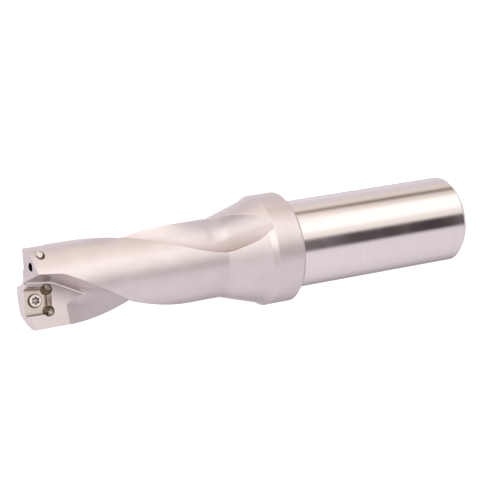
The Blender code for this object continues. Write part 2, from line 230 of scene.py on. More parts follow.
def turned(name: str, profile: Sequence[Point], steps: int) -> Object:
    """Make a solid of revolution about Z.

    Args:
        name: Name of the object.
        profile: Points of radius and height that start and end on the axis.
        steps: Number of facets round the axis.

    Returns:
        The solid's object.
    """
    bm = bmesh.new()
    points = [bm.verts.new((radius, 0, height)) for radius, height in profile]
    edges = [bm.edges.new(pair) for pair in zip(points, points[1:])]
    bmesh.ops.spin(
        bm, geom=points + edges, axis=(0, 0, 1), angle=tau, steps=steps, use_merge=True
    )
    bmesh.ops.remove_doubles(bm, verts=bm.verts, dist=MERGE)
    return solid(name, bm)


def plain_mesh(source: Object, name: str) -> Mesh:
    """Turn an object with modifiers into a plain mesh and remove the object.

    Args:
        source: Object whose evaluated shape is taken.
        name: Name of the mesh.

    Returns:
        The evaluated mesh.
    """
    graph = bpy.context.evaluated_depsgraph_get()
    mesh = bpy.data.meshes.new_from_object(
        source.evaluated_get(graph), preserve_all_data_layers=True, depsgraph=graph
    )
    mesh.name = name
    bpy.data.objects.remove(source, do_unlink=True)
    return mesh


def new_tree(name: str, inputs: dict[str, str]) -> NodeTree:
    """Make an empty Geometry Nodes tree that takes and gives geometry.

    Args:
        name: Name of the tree.
        inputs: Name of each further input to the kind of its socket.

    Returns:
        The tree.
    """
    tree = bpy.data.node_groups.new(name, "GeometryNodeTree")
    tree.interface.new_socket("Geometry", in_out="OUTPUT", socket_type="NodeSocketGeometry")
    for key, kind in {"Geometry": "Geometry", **inputs}.items():
        tree.interface.new_socket(key, in_out="INPUT", socket_type=f"NodeSocket{kind}")
    return tree


def end_tree(tree: NodeTree, placed: Node, finish: NodeSocket) -> None:
    """Add the nodes that make the geometry real, give it its finish and hand it out.

    Args:
        tree: The Geometry Nodes tree.
        placed: Node with the geometry.
        finish: Socket with the material.
    """
    real = add_node(tree, "GeometryNodeRealizeInstances", {"Geometry": placed})
    dressed = add_node(tree, "GeometryNodeSetMaterial", {"Geometry": real, "Material": finish})
    add_node(tree, "NodeGroupOutput", {"Geometry": dressed})


def run_tree(carrier: Object, tree: NodeTree, values: dict[str, object], name: str) -> Object:
    """Run a Geometry Nodes tree on an object and keep the result as a plain object.

    Args:
        carrier: Object whose mesh goes into the tree.
        tree: The tree.
        values: Input name to its value.
        name: Name of the result.

    Returns:
        The object with the plain result.
    """
    modifier = carrier.modifiers.new(name, "NODES")
    modifier.node_group = tree
    for item in tree.interface.items_tree:
        if item.in_out == "INPUT" and item.name in values:
            modifier[item.identifier] = values[item.name]
    return link_object(name, plain_mesh(carrier, name))


@dataclass(frozen=True)
class Pattern:
    """Noise in a finish.

    Its sizes are those of a grain across and along the drill's axis, and the low and high levels
    count as its ends.
    """

    across: float
    along: float
    detail: float = 3.0
    roughness: float = 0.6
    low: float = 0.0
    high: float = 1.0

    def add(self, tree: NodeTree, place: NodeSocket) -> Node:
        """Add the nodes of the noise.

        Args:
            tree: The finish's tree.
            place: Socket with the place on the object.

        Returns:
            The noise's node.
        """
        scale = (1 / self.across, 1 / self.across, 1 / self.along)
        grains = add_node(tree, "ShaderNodeMapping", {"Vector": place, "Scale": scale})
        sizes = {"Scale": 1.0, "Detail": self.detail, "Roughness": self.roughness}
        return add_node(tree, "ShaderNodeTexNoise", {"Vector": grains} | sizes)


@dataclass(frozen=True)
class Metal:
    """A metal finish. Its tint and gloss follow noise, and its marks show as relief."""

    name: str
    colour: str
    second: str
    smoothest: float
    roughest: float
    marks: Pattern
    edge_radius: float = 0.06 * MM
    tinting: Pattern | None = None
    glossing: Pattern | None = None
    bump: float = 0.06
    bump_depth: float = 0.03 * MM
    # Painted shade: the colour is darkened towards this one where ambient occlusion finds a corner or
    # hollow closed in.
    corner: str = "3A322F"
    painted_shade_reach: float = 0.9 * MM
    painted_shade_strength: float = 0.9
    open_share: float = 0.95
    deep_share: float = 0.5
    # Painted highlight: edges are tinted towards this colour where the rounded normal turns from the
    # smooth one, hollow edges too.
    edge_highlight_colour: str | None = None
    edge_highlight: float = 0.8
    edge_highlight_start: float = 0.9993
    edge_highlight_end: float = 0.985

    def material(self) -> Material:
        """Build the finish.

        Returns:
            A metal with rounded edges, a painted highlight along its edges and painted shade in its
            corners.
        """
        made = bpy.data.materials.new(self.name)
        made.use_nodes = True
        tree = made.node_tree
        place = add_node(tree, "ShaderNodeTexCoord").outputs["Object"]
        rounded = add_node(tree, "ShaderNodeBevel", {"Radius": self.edge_radius}, samples=4)
        noise = {}
        for use, pattern in (("marks", self.marks), ("tint", self.tinting), ("gloss", self.glossing)):
            chosen = pattern or self.marks
            noise[use] = (chosen.add(tree, place), chosen.low, chosen.high)
        layers = [(add_node(tree, MAP_RANGE, noise["tint"]), self.second)]
        # Painted highlight along the edges, on convex and concave edges alike.
        if self.edge_highlight_colour:
            flat = add_node(tree, "ShaderNodeNewGeometry").outputs["Normal"]
            turn = add_node(tree, VECTOR_MATH, (rounded, flat), operation="DOT_PRODUCT")
            levels = (turn.outputs["Value"], self.edge_highlight_start, self.edge_highlight_end, 0.0, self.edge_highlight)
            layers.append((add_node(tree, MAP_RANGE, levels), self.edge_highlight_colour))
        # Painted shade in corners and hollows, from ambient occlusion.
        if self.painted_shade_strength:
            reach = {"Distance": self.painted_shade_reach}
            openness = add_node(tree, "ShaderNodeAmbientOcclusion", reach, samples=8).outputs["AO"]
            levels = (openness, self.open_share, self.deep_share, 0.0, self.painted_shade_strength)
            layers.append((add_node(tree, MAP_RANGE, levels), self.corner))
        tint: object = linear(self.colour)
        for share, colour in layers:
            colours = {SHARE: share, FIRST: tint, SECOND: linear(colour)}
            tint = add_node(tree, MIX, colours, data_type="RGBA").outputs[MIXED]
        gloss = add_node(tree, MAP_RANGE, (*noise["gloss"], self.smoothest, self.roughest))
        relief = {"Strength": self.bump, "Distance": self.bump_depth, "Normal": rounded}
        bump = add_node(tree, "ShaderNodeBump", relief | {"Height": noise["marks"][0]})
        inputs = tree.nodes["Principled BSDF"].inputs
        inputs["Metallic"].default_value = 1.0
        shown = {"Base Color": tint, "Roughness": gloss.outputs[0], "Normal": bump.outputs[0]}
        for name, socket in shown.items():
            tree.links.new(socket, inputs[name])
        return made


def make_finishes() -> Finishes:
    """Build every finish of the drill once.

    Returns:
        How a surface was made to its material.
    """
    # The blasted grain is drawn three times as coarse as it is, so that it shows.
    nickel = Metal(
        Cut.PLATED.value,
        "EFE5E2",
        "E8DDDA",
        smoothest=0.3,
        roughest=0.38,
        marks=Pattern(0.35 * MM, 0.35 * MM, detail=2.0, low=0.3, high=0.7),
        edge_radius=0.16 * MM,
        tinting=Pattern(7 * MM, 7 * MM, roughness=0.55, low=0.35, high=0.65),
        bump=0.05,
        bump_depth=0.05 * MM,
        # Painted shade: darker towards ridge walls and hollows, reaching 7 mm over the flats.
        corner="7A6E6C",
        painted_shade_reach=7 * MM,
        painted_shade_strength=0.72,
        # Painted highlight colour along the edges.
        edge_highlight_colour="FFFDFC",
    )
    # The lines round the shank's axis are drawn coarser than the wheel left them, under wide smears
    # that come 0.12 times in a millimetre.
    smear = MM / 0.12
    ground = Metal(
        Cut.GROUND.value,
        "FFF6F2",
        "F5EBE7",
        smoothest=0.11,
        roughest=0.16,
        marks=Pattern(30 * MM, 0.45 * MM, detail=4.0, roughness=0.7),
        edge_radius=0.12 * MM,
        glossing=Pattern(smear, smear, detail=2.0, roughness=0.5, low=0.3, high=0.7),
        bump=0.04,
        bump_depth=0.05 * MM,
        painted_shade_strength=0.0,
    )
    # Painted highlight on the gullets' corner fillets: a lighter copy of the plating without its
    # painted shade.
    fillet_highlight = replace(
        nickel, name=Cut.FILLET_HIGHLIGHT.value, colour="FFF9F6", second="FBF3F0", painted_shade_strength=0.0
    )
    finishes = {Cut.PLATED: nickel, Cut.GROUND: ground, Cut.FILLET_HIGHLIGHT: fillet_highlight}
    # Tool marks are drawn coarser than they are too. The last column is the strength of the painted
    # shade in corners and hollows: the seat's foot, the holes and the screw's socket.
    for cut, colour, second, smoothest, roughest, spacing, painted_shade_strength in (
        (Cut.MILLED, "EADFD7", "DACDC3", 0.29, 0.39, 0.3 * MM, 0.9),
        (Cut.DRILLED, "D6CABA", "8E8276", 0.15, 0.25, 0.25 * MM, 0.9),
        # The tapped hole is painted lighter than bare steel, a painted reflection in the deep thread,
        # and gets no painted shade.
        (Cut.TAPPED, "FBF5EF", "F2EAE2", 0.4, 0.5, 0.2 * MM, 0.0),
        (Cut.SCREW, "F0E8E2", "D8CEC7", 0.17, 0.27, 0.2 * MM, 0.9),
    ):
        marks = Pattern(spacing, spacing)
        steel = Metal(cut.value, colour, second, smoothest, roughest, marks)
        finishes[cut] = replace(steel, painted_shade_strength=painted_shade_strength)
    return {cut: finish.material() for cut, finish in finishes.items()}


@dataclass(frozen=True)
class Blank:
    """Turned blank: shank with its chamfer, flange, conical nose and body, and the rear bore."""

    shank_radius: float = 12.5 * MM
    shank_length: float = 56 * MM
    shank_chamfer: float = 1.4 * MM
    groove_depth: float = 0.3 * MM
    groove_width: float = 0.8 * MM
    flange_radius: float = 15.75 * MM
    flange_length: float = 8.5 * MM
    flange_rear_chamfer: float = 0.85 * MM
    flange_front_chamfer: float = 1.5 * MM
    flange_front_drop: float = 0.95 * MM
    nose_length: float = 11.7 * MM
    body_radius: float = 11.25 * MM
    body_length: float = 55.8 * MM
    bore_radius: float = 4 * MM
    bore_depth: float = 58 * MM
    bore_chamfer: float = 0.8 * MM
    bore_point: float = radians(118)
    facets: int = 240
    edge_margin: float = 0.01 * MM
    ring_step: float = 2 * MM

    @property
    def flange_front(self) -> float:
        """Height where the flange's front chamfer starts."""
        return self.shank_length + self.flange_length

    @property
    def nose_start(self) -> float:
        """Height where the nose starts."""
        return self.flange_front + self.flange_front_chamfer

    @property
    def body_start(self) -> float:
        """Height where the fluted body starts."""
        return self.nose_start + self.nose_length

    @property
    def tip(self) -> float:
        """Height of the tip."""
        return self.body_start + self.body_length

    @property
    def top(self) -> float:
        """Height of the blank's end before the end faces are cut."""
        return self.tip + OVERSHOOT

    def profile(self) -> list[Point]:
        """Half section of the blank, from the end of the bore round to the top.

        Returns:
            Points of radius and height, with rings along the body so that facets stay short.
        """
        bore, shank, flange = self.bore_radius, self.shank_radius, self.flange_radius
        length, groove = self.shank_length, shank - self.groove_depth
        groove_start = length - self.groove_width
        outline = [
            (0, self.bore_depth + bore / tan(self.bore_point / 2)),
            (bore, self.bore_depth),
            (bore, self.bore_chamfer),
            (bore + self.bore_chamfer, 0),
            (shank - self.shank_chamfer, 0),
            (shank, self.shank_chamfer),
            (shank, groove_start),
            (groove, groove_start + self.groove_depth),
            (groove, length - self.groove_depth),
            (shank, length),
            (flange - self.flange_rear_chamfer, length),
            (flange, length + self.flange_rear_chamfer),
            (flange, self.flange_front),
            (flange - self.flange_front_drop, self.nose_start),
            (self.body_radius, self.body_start),
        ]
        count = round((self.top - self.body_start) / self.ring_step)
        step = (self.top - self.body_start) / count
        outline += [(self.body_radius, self.body_start + step * (i + 1)) for i in range(count)]
        return outline + [(0, self.top)]

    def build(self, finishes: Finishes) -> Object:
        """Make the blank, with its shank ground, its bore drilled and the rest plated.

        Args:
            finishes: The drill's finishes.

        Returns:
            The blank's object.
        """
        blank = turned("drill_blank", self.profile(), self.facets)
        cuts = [Cut.PLATED, Cut.GROUND, Cut.DRILLED]
        for cut in cuts:
            blank.data.materials.append(finishes[cut])
        inside = self.bore_radius + self.bore_chamfer
        for face in blank.data.polygons:
            radius = hypot(face.center.x, face.center.y)
            if radius < inside and face.center.z < self.bore_depth + 2 * self.bore_radius:
                face.material_index = cuts.index(Cut.DRILLED)
            elif face.center.z < self.shank_length - self.edge_margin:
                face.material_index = cuts.index(Cut.GROUND)
        return blank


@dataclass(frozen=True)
class Helix:
    """Twist of the flutes: steady along the body, slower in the nose, none at the tip."""

    blank: Blank
    twist: float = radians(2.2) / MM
    runout_twist: float = radians(1.15) / MM
    change_above_nose: float = 7 * MM
    blend: float = 4 * MM
    end_blend: float = 1.5 * MM

    @property
    def change(self) -> float:
        """Height where the twist changes."""
        return self.blank.body_start + self.change_above_nose

    def turn(self, height: float, straight_from: float | None = None) -> float:
        """Angle that a flute has turned through, zero where the twist changes.

        Args:
            height: Height above the shank end.
            straight_from: Height from which the flute runs straight.

        Returns:
            The angle in radians.
        """
        limit = self.blank.top if straight_from is None else straight_from
        above = height - eased(height - limit, self.end_blend) - self.change
        gained = self.twist - self.runout_twist
        return self.runout_twist * above + gained * eased(above, self.blend)


class FluteTree:
    """Geometry Nodes tree that bends a straight flute cutter into its twisted course."""

    FLOATS = (
        "Rake Angle", "Straight From", "Twist", "Runout Twist", "Twist Change", "Twist Blend",
        "End Blend", "Fillet", "Runout Fillet", "Travel", "Runout Start", "Runout Slope",
        "Runout Blend",
    )

    def __init__(self) -> None:
        """Build the tree."""
        inputs = dict.fromkeys(self.FLOATS, "Float") | {"Slide Along": "Vector", "Finish": "Material"}
        self.tree = new_tree("helical_flute", inputs)
        self.given = add_node(self.tree, "NodeGroupInput").outputs
        self.build()

    def eased(self, value: Node, blend: NodeSocket) -> Node:
        """Add the nodes of the eased rise, as the function of that name.

        Args:
            value: Node with the value.
            blend: Socket with the half length of the parabola.

        Returns:
            The node with the eased value.
        """
        tree = self.tree
        double = add_node(tree, MATH, (blend, 2.0), operation="MULTIPLY")
        four = add_node(tree, MATH, (blend, 4.0), operation="MULTIPLY")
        shifted = add_node(tree, MATH, (value, blend), operation="ADD")
        rise = add_node(tree, "ShaderNodeClamp", (shifted, 0.0, double))
        square = add_node(tree, MATH, (rise, rise), operation="MULTIPLY")
        curve = add_node(tree, MATH, (square, four), operation="DIVIDE")
        beyond = add_node(tree, MATH, (value, blend), operation="SUBTRACT")
        line = add_node(tree, MATH, (beyond, 0.0), operation="MAXIMUM")
        return add_node(tree, MATH, (curve, line), operation="ADD")

    def twisted_angle(self, height: NodeSocket) -> Node:
        """Add the nodes of the section's turn.

        Args:
            height: Socket with the section's height.

        Returns:
            The node with the angle.
        """
        tree, given = self.tree, self.given
        past = add_node(tree, MATH, (height, given["Straight From"]), operation="SUBTRACT")
        over = self.eased(past, given["End Blend"])
        held = add_node(tree, MATH, (height, over), operation="SUBTRACT")
        above = add_node(tree, MATH, (held, given["Twist Change"]), operation="SUBTRACT")
        terms = (above, given["Runout Twist"], given["Rake Angle"])
        slow = add_node(tree, MATH, terms, operation="MULTIPLY_ADD")
        gained = add_node(tree, MATH, (given["Twist"], given["Runout Twist"]), operation="SUBTRACT")
        terms = (self.eased(above, given["Twist Blend"]), gained, slow)
        return add_node(tree, MATH, terms, operation="MULTIPLY_ADD")

    def build(self) -> None:
        """Add the nodes from the straight section to the finished cutter."""
        tree, given = self.tree, self.given
        place = add_node(tree, "GeometryNodeInputPosition")
        height = add_node(tree, "ShaderNodeSeparateXYZ", (place,)).outputs["Z"]
        below = add_node(tree, MATH, (given["Runout Start"], height), operation="SUBTRACT")
        rise = self.eased(below, given["Runout Blend"])
        slide = add_node(tree, MATH, (rise, given["Runout Slope"]), operation="MULTIPLY")
        levels = (slide, 0.0, given["Travel"], given["Fillet"], given["Runout Fillet"])
        wide = add_node(tree, MAP_RANGE, levels)
        corner, growth = [
            add_node(
                tree, "GeometryNodeInputNamedAttribute", {"Name": name}, data_type="FLOAT_VECTOR"
            )
            for name in ("corner", "growth")
        ]
        grown = add_node(tree, VECTOR_MATH, {0: growth, "Scale": wide}, operation="SCALE")
        way = given["Slide Along"]
        slid = add_node(tree, VECTOR_MATH, {0: way, "Scale": slide}, operation="SCALE")
        section = add_node(tree, VECTOR_MATH, (corner, grown), operation="ADD")
        moved = add_node(tree, VECTOR_MATH, (section, slid), operation="ADD")
        turn = {"Vector": moved, "Angle": self.twisted_angle(height)}
        turned_round = add_node(tree, "ShaderNodeVectorRotate", turn, rotation_type="Z_AXIS")
        lift = add_node(tree, "ShaderNodeCombineXYZ", {"Z": height})
        lifted = add_node(tree, VECTOR_MATH, (turned_round, lift), operation="ADD")
        where = {"Geometry": given["Geometry"], "Position": lifted}
        end_tree(tree, add_node(tree, "GeometryNodeSetPosition", where), given["Finish"])


@dataclass(frozen=True)
class ChipFlute:
    """One helical chip flute: a straight rake wall, a fillet and a hollowed heel wall."""

    name: str
    helix: Helix
    rake_angle: float
    straight_from: float
    opening: float
    fillet: float
    wall_angle: float = radians(81.5)
    runout_slope: float = 0.8
    runout_fillet: float = 7 * MM
    runout_blend: float = 3 * MM
    runout_end_below: float = 0.3 * MM
    row_step: float = 0.5 * MM
    heel_hollow: float = radians(15)
    wall_columns: int = 14
    arc_columns: int = 20
    far_columns: int = 8

    @property
    def lean(self) -> float:
        """Angle of the heel wall from square."""
        return RIGHT_ANGLE - self.wall_angle

    @property
    def to_centre(self) -> Vector:
        """Way from the corner to the fillet's centre for each metre of the fillet's radius."""
        return Vector((tan(self.lean) + 1 / cos(self.lean), 1, 0))

    @property
    def corner(self) -> Vector:
        """Point where the two walls would meet without a fillet."""
        radius = self.helix.blank.body_radius
        heel_x, heel_y = radius * cos(self.opening), radius * sin(self.opening)
        return Vector((heel_x - heel_y * tan(self.lean), 0, 0))

    def columns(self) -> list[tuple[Vector, Vector]]:
        """Section of the flute, from the far end of the rake wall round to that of the heel wall.

        Returns:
            For each point its place without a fillet and how it moves with the fillet's radius.
        """
        corner = self.corner
        sweep = pi - self.wall_angle - self.heel_hollow
        angles = [-RIGHT_ANGLE - sweep * i / self.arc_columns for i in range(self.arc_columns + 1)]
        arc = [(corner, self.to_centre + polar(1, angle)) for angle in angles]
        first_growth, last_growth = arc[0][1], arc[-1][1]
        far = Vector((FAR, 0, 0))
        shares = [i / self.wall_columns for i in range(self.wall_columns + 1)]
        rake = [(far.lerp(corner, share), first_growth * share) for share in shares[:-1]]
        along = polar(1, self.wall_angle)
        bulge = polar(1, self.wall_angle + RIGHT_ANGLE) * tan(self.heel_hollow)
        height = self.helix.blank.body_radius * sin(self.opening) / cos(self.lean)
        shortening = last_growth.dot(along)
        edge = corner + along * height
        heel = []
        for share in shares[1:]:
            arch = share * (1 - share)
            place = corner.lerp(edge, share) + bulge * height * arch
            heel.append((place, last_growth * (1 - share) - bulge * shortening * arch))
        for i in range(1, self.far_columns + 1):
            heel.append((edge + (along - bulge) * FAR * i / self.far_columns, Vector()))
        return rake + arc + heel

    def build(self, tree: FluteTree, finish: Material) -> Object:
        """Make the flute's cutter.

        Args:
            tree: Tree that twists it.
            finish: Finish that it leaves on the body.

        Returns:
            The cutter's object.
        """
        blank, helix = self.helix.blank, self.helix
        slide_along = polar(1, self.wall_angle / 2)
        centre = self.corner + self.to_centre * self.runout_fillet
        along = centre.dot(slide_along)
        reach = blank.flange_radius + self.runout_fillet
        travel = sqrt(along**2 + reach**2 - centre.length_squared) - along
        runout_end = blank.flange_front - self.runout_end_below
        lowest = runout_end - OVERSHOOT
        rows = ceil((blank.top + OVERSHOOT - lowest) / self.row_step)
        columns = self.columns()
        # The straight section is spread into a circle, so that its faces have a direction.
        steps = [-tau * i / len(columns) for i in range(len(columns))]
        heights = [lowest + i * self.row_step for i in range(rows + 1)]
        rings = [[polar(1, step, height) for step in steps] for height in heights]
        straight = loft(self.name, rings)
        for name, part in (("corner", 0), ("growth", 1)):
            layer = straight.data.attributes.new(name, "FLOAT_VECTOR", "POINT")
            flat = [x for _ in heights for column in columns for x in column[part]]
            layer.data.foreach_set("vector", flat)
        values = {
            "Rake Angle": self.rake_angle,
            "Straight From": self.straight_from,
            "Twist": helix.twist,
            "Runout Twist": helix.runout_twist,
            "Twist Change": helix.change,
            "Twist Blend": helix.blend,
            "End Blend": helix.end_blend,
            "Fillet": self.fillet,
            "Runout Fillet": self.runout_fillet,
            "Travel": travel,
            "Runout Start": runout_end + travel / self.runout_slope,
            "Runout Slope": self.runout_slope,
            "Runout Blend": self.runout_blend,
            "Slide Along": tuple(slide_along),
            "Finish": finish,
        }
        return run_tree(straight, tree.tree, values, self.name)


@dataclass(frozen=True)
class Gullet:
    """Straight milled gullet at the tip: a rake flat, a drafted ridge wall and a small fillet."""

    name: str
    blank: Blank
    half_turn: bool
    rake: float
    ridge: float
    draft: float = radians(8.5)
    tip_slope: float = radians(7.2)
    tip_length: float = 7.9 * MM
    tail_slope: float = radians(28)
    ridge_radius: float = 7 * MM
    corner_fillet: float = 0.3 * MM
    arc_steps: int = 18

    def ridge_line(self) -> list[Point]:
        """Trace the ridge from above the tip down its two slopes.

        Returns:
            Points of y and z.
        """
        tip, radius = self.blank.tip, self.ridge_radius
        bend_z = tip - self.tip_length
        bend_y = self.ridge - self.tip_length * tan(self.tip_slope)
        turn = self.tail_slope - self.tip_slope
        tangent = radius * tan(turn / 2)
        start_y = bend_y + tangent * sin(self.tip_slope)
        start_z = bend_z + tangent * cos(self.tip_slope)
        centre_y = start_y - radius * cos(self.tip_slope)
        centre_z = start_z + radius * sin(self.tip_slope)
        above = 2 * OVERSHOOT
        line = [(self.ridge + above * tan(self.tip_slope), tip + above)]
        for i in range(self.arc_steps + 1):
            angle = self.tip_slope + turn * i / self.arc_steps
            line.append((centre_y + radius * cos(angle), centre_z - radius * sin(angle)))
        last_y, last_z = line[-1]
        line.append((-FAR, last_z - (last_y + FAR) / tan(self.tail_slope)))
        return line

    def build(self, finishes: Finishes) -> Object:
        """Make the gullet's cutter.

        Args:
            finishes: The drill's finishes.

        Returns:
            The cutter, which leaves a painted highlight on its corner fillet, brighter than its
            faces.
        """
        turn = Matrix.Rotation(pi if self.half_turn else 0, 4, "Z")
        line = self.ridge_line()
        slope = tan(self.draft)
        fillet = self.corner_fillet
        drop = fillet * (1 / cos(self.draft) - slope)
        levels = []
        for i in range(self.arc_steps + 1):
            angle = pi - (RIGHT_ANGLE - self.draft) * i / self.arc_steps
            levels.append((fillet + fillet * cos(angle), fillet * sin(angle) - drop))
        levels.append((FAR, FAR * slope))
        rings = []
        for x, shift in levels:
            outline = [(y + shift, z) for y, z in line]
            outline += [(-2 * FAR, line[-1][1]), (-2 * FAR, line[0][1])]
            rings.append([turn @ Vector((self.rake + x, y, z)) for y, z in outline])
        cutter = loft(self.name, rings, finishes[Cut.PLATED])
        cutter.data.materials.append(finishes[Cut.FILLET_HIGHLIGHT])
        for face in cutter.data.polygons[: self.arc_steps * len(rings[0])]:
            face.material_index = 1
        return cutter


@dataclass(frozen=True)
class InsertSeat:
    """Square insert seat with leaning walls, corner reliefs and a tapped hole."""

    name: str
    blank: Blank
    out: float
    floor: float
    facing: int
    outer_wall: float
    reliefs: tuple[Point, ...]
    tilt: float = radians(7.5)
    depth: float = 4 * MM
    lean: float = radians(11)
    centre_wall: float = 2.95 * MM
    rear_wall: float = 3.3 * MM
    rear_lean: float = radians(4.5)
    clear_lean: float = radians(1)
    clear_flare: float = radians(6.3)
    relief_radius: float = 1.5 * MM
    relief_depth: float = 0.4 * MM
    relief_tilt: float = radians(13)
    relief_point: float = radians(130)
    relief_centre: float = 0.12 * MM
    below_tip: float = 3.5 * MM
    hole_radius: float = 1.25 * MM
    mouth_radius: float = 1.8 * MM
    hole_steps: int = 40

    def frame(self) -> Matrix:
        """Give the axes of the seat.

        Returns:
            The matrix with X towards the drill's axis, Y forwards and Z out of the floor.
        """
        forwards = Vector((0, sin(self.tilt), cos(self.tilt)))
        normal = Vector((self.facing, 0, 0))
        axes = Matrix((forwards.cross(normal), forwards, normal)).transposed().to_4x4()
        place = Vector((self.floor, self.out, self.blank.tip - self.below_tip))
        return Matrix.Translation(place) @ axes

    def rod(self, name: str, place: Matrix, levels: Sequence[Point], finish: Material) -> Object:
        """Make a round cutter from radius and height levels along the Z axis of a matrix."""
        rings = [circle(Vector((0, 0, height)), radius, self.hole_steps) for radius, height in levels]
        return loft(name, [[place @ point for point in ring] for ring in rings], finish)

    def build(self, finishes: Finishes) -> list[Object]:
        """Make the cutters of the seat.

        Args:
            finishes: The drill's finishes.

        Returns:
            The seat's, reliefs' and hole's cutters.
        """
        place = self.frame()
        ahead = self.below_tip + OVERSHOOT
        rings = []
        flare = tan(self.clear_flare)
        for level in (0, self.depth + OVERSHOOT):
            inner = self.centre_wall + level * tan(self.lean)
            outer = -self.outer_wall - level * tan(self.clear_lean)
            rear = -self.rear_wall - level * tan(self.rear_lean)
            front_corner = (outer - ahead * flare, ahead)
            rear_corner = (outer - rear * flare, rear)
            outline = [(inner, rear), (inner, ahead), front_corner, rear_corner]
            rings.append([place @ Vector((x, y, level)) for x, y in outline])
        tools = [loft(f"{self.name}_seat", rings, finishes[Cut.MILLED])]
        lean_back = Matrix.Rotation(-self.relief_tilt, 4, "X")
        for i, (across, back) in enumerate(self.reliefs):
            corner = place @ Matrix.Translation((across, -back, 0)) @ lean_back
            point = self.relief_depth + self.relief_radius / tan(self.relief_point / 2)
            levels = [
                (self.relief_centre, -point),
                (self.relief_radius, -self.relief_depth),
                (self.relief_radius, 2 * self.depth),
            ]
            name = f"{self.name}_relief_{i + 1}"
            tools.append(self.rod(name, corner, levels, finishes[Cut.DRILLED]))
        hole = [
            (self.hole_radius, -FAR),
            (self.hole_radius, self.hole_radius - self.mouth_radius),
            (self.mouth_radius, 0.0),
            (self.mouth_radius, self.depth),
        ]
        tools.append(self.rod(f"{self.name}_hole", place, hole, finishes[Cut.TAPPED]))
        return tools


@dataclass(frozen=True)
class EndFaces:
    """End faces of the two lands, which fall away on both sides of their peaks."""

    blank: Blank
    inner_gullet: Gullet
    outer_rake: float
    seat_depth: float
    inner_peak_out: float = 6.5 * MM
    inner_slope: float = radians(5.9)
    inner_outer_slope: float = radians(13)
    inner_relief: float = radians(3.5)
    outer_peak_out: float = 5.5 * MM
    outer_slope: float = radians(6.5)
    outer_outer_slope: float = radians(5)
    outer_relief: float = radians(7)
    web_fall: float = radians(11)
    lap: float = 0.15 * MM

    def outer_footprint(self, lap: float) -> list[Point]:
        """Trace the outer land's footprint.

        Args:
            lap: How far it laps onto the inner land's lower end face.

        Returns:
            Its corners as x and y.
        """
        gullet = self.inner_gullet
        slope = tan(gullet.draft)
        wall = gullet.ridge - gullet.corner_fillet / 2 - lap
        edge = -self.outer_rake - lap
        far = 2 * FAR
        return [(edge, wall + edge * slope), (far, wall + far * slope), (far, far), (edge, far)]

    def build(self, finish: Material) -> list[Object]:
        """Make the cutters of the end faces.

        Args:
            finish: Finish that they leave.

        Returns:
            One cutter for each face.
        """
        far = 2 * FAR
        tip = self.blank.tip
        start, wall_end, _, top_corner = self.outer_footprint(0)
        inner_land = [(-far, -far), (far, -far), wall_end, start, top_corner, (-far, far)]
        inner_outside = [(-far, -far), (far, -far), (far, 0), (-far, 0)]
        inner_peak = (0.0, -self.inner_peak_out, tip)
        outer_peak = (self.seat_depth - self.outer_rake + self.lap, self.outer_peak_out, tip)
        lands = [self.outer_footprint(self.lap * laps) for laps in (1, 2, 3)]
        inner_out, outer_out = self.inner_outer_slope, -self.outer_outer_slope
        planes = [
            ("inner", inner_land, inner_peak, -self.inner_slope, self.inner_relief),
            ("inner_outside", inner_outside, inner_peak, inner_out, self.inner_relief),
            ("outer", lands[0], outer_peak, self.outer_slope, -self.outer_relief),
            ("outer_outside", lands[1], outer_peak, outer_out, -self.outer_relief),
            ("outer_web", lands[2], outer_peak, outer_out, self.web_fall),
        ]
        tools = []
        for name, footprint, (peak_x, peak_y, peak_z), slope, relief in planes:
            rings: tuple[list[Vector], list[Vector]] = ([], [])
            for x, y in footprint:
                rise = tan(slope) * (y - peak_y) + tan(relief) * (x - peak_x)
                rings[0].append(Vector((x, y, peak_z + rise)))
                rings[1].append(Vector((x, y, self.blank.top + OVERSHOOT)))
            tools.append(loft(f"{name}_end", rings, finish))
        return tools


@dataclass(frozen=True)
class Coolant:
    """Coolant channel: out of the bore at a slant, then up the outer land beside the flute."""

    helix: Helix
    heel_angle: float
    straight_from: float
    radius: float = 1.2 * MM
    centre_radius: float = 8.8 * MM
    back_from_heel: float = radians(48.5)
    turn_in: float = 3 * MM
    step: float = 1 * MM
    steps: int = 32

    def build(self, finish: Material) -> Object:
        """Make the channel's cutter.

        Args:
            finish: Finish that it leaves.

        Returns:
            The cutter's object.
        """
        blank = self.helix.blank
        start = blank.body_start - self.turn_in
        stations = [(0.0, blank.bore_depth - self.radius, start)]
        count = ceil((blank.top - start) / self.step)
        for i in range(count + 1):
            height = start + i * self.step
            stations.append((self.centre_radius, height, height))
        rings = []
        for radius, height, turned_at in stations:
            turn = self.helix.turn(turned_at, self.straight_from)
            angle = self.heel_angle + self.back_from_heel + turn
            rings.append(circle(polar(radius, angle, height), self.radius, self.steps))
        return loft("coolant_channel", rings, finish)


@dataclass(frozen=True)
class ClampFlat:
    """Milled flat on the shank that a holder's set screw presses on."""

    blank: Blank
    depth: float = 2 * MM
    start: float = 18 * MM
    length: float = 24 * MM

    def build(self, finish: Material) -> Object:
        """Make the flat's cutter.

        Args:
            finish: Finish that it leaves.

        Returns:
            The cutter's object.
        """
        face = self.depth - self.blank.shank_radius
        corners = [(face, -FAR), (face, FAR), (-FAR, FAR), (-FAR, -FAR)]
        heights = (self.start, self.start + self.length)
        rings = [[Vector((x, y, height)) for x, y in corners] for height in heights]
        return loft("clamp_flat", rings, finish)


